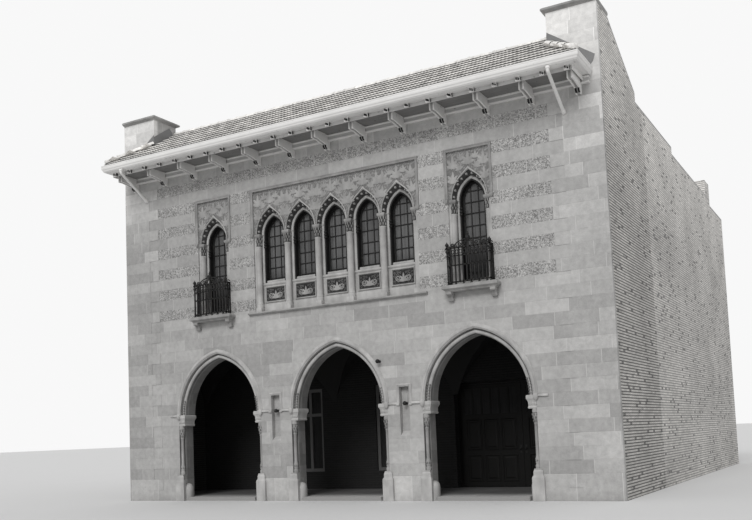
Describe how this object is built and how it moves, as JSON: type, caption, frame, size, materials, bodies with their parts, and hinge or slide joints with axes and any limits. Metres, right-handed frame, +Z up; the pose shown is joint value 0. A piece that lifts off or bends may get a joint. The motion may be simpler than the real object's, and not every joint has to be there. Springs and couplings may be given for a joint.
{
  "type": "town hall building",
  "caption": "Two-storey town hall with a stone front, pointed porch arches, traceried upper windows, tiled eaves and brick side walls.",
  "frame": {"origin": "on the ground, under the middle of the front wall's outer face", "axes": "+X along the front to the right as seen from the street, +Y into the building, +Z up"},
  "size_m": [14.4, 18.325, 11.3],
  "materials": {
    "ashlar_stone": "matte",
    "carved_stone": "matte",
    "brick": "matte",
    "painted_wood": "satin",
    "black_iron": "satin",
    "clay_tile": "matte",
    "roofing_felt": "matte",
    "painted_sheet_metal": "satin",
    "dark_door_wood": "satin",
    "concrete_floor": "matte",
    "floor_timber": "matte",
    "plaster": "matte",
    "dark_steel_sash": "satin",
    "glass": "gloss"
  },
  "bodies": {
    "root": {"arch_mouldings": "carved_stone", "balconies": "carved_stone", "balcony_railings": "black_iron", "carved_panels": "carved_stone", "chimney": "brick", "door_frame": "dark_door_wood", "downspouts": "painted_sheet_metal", "eaves_brackets": "painted_wood", "eaves_soffit": "painted_wood", "end_piers": "ashlar_stone", "front_arcade": "ashlar_stone", "front_piers": "ashlar_stone", "front_roof": "clay_tile", "front_upper_wall": "ashlar_stone", "ground_floor": "concrete_floor", "guard_stones": "carved_stone", "gutter": "painted_sheet_metal", "hinge_pins": "black_iron", "impost_blocks": "carved_stone", "jamb_shafts": "carved_stone", "joist_tails": "painted_wood", "left_side_wall": "brick", "niche_labels": "carved_stone", "parapet_copings": "clay_tile", "pier_caps": "ashlar_stone", "pier_plinths": "carved_stone", "porch_vaults": "plaster", "porch_wall_left": "brick", "porch_wall_over_door": "brick", "porch_wall_right": "brick", "porch_windows": "painted_wood", "quoins": "ashlar_stone", "rear_coping": "clay_tile", "rear_roof_slope": "roofing_felt", "rear_wall": "brick", "rear_windows": "painted_wood", "ridge_tiles": "clay_tile", "right_side_wall": "brick", "roof_deck": "roofing_felt", "sill_string": "carved_stone", "upper_floor": "floor_timber", "wall_lamps": "black_iron", "wall_plate": "painted_wood", "window_colonnettes": "carved_stone", "window_glass": "glass", "window_labels": "carved_stone", "window_sashes": "dark_steel_sash", "window_screens": "carved_stone"},
    "left_door": {"door_left": "dark_door_wood"},
    "right_door": {"door_right": "dark_door_wood"}
  },
  "joints": [
    {"name": "left_door_swing", "type": "hinge", "parent": "root", "child": "left_door", "pos_m": [1.963, 3.324, 1.5], "axis": [0, 0, 1], "range_deg": [0, 103]},
    {"name": "right_door_swing", "type": "hinge", "parent": "root", "child": "right_door", "pos_m": [5.537, 3.324, 1.5], "axis": [0, 0, -1], "range_deg": [0, 103]}
  ]
}
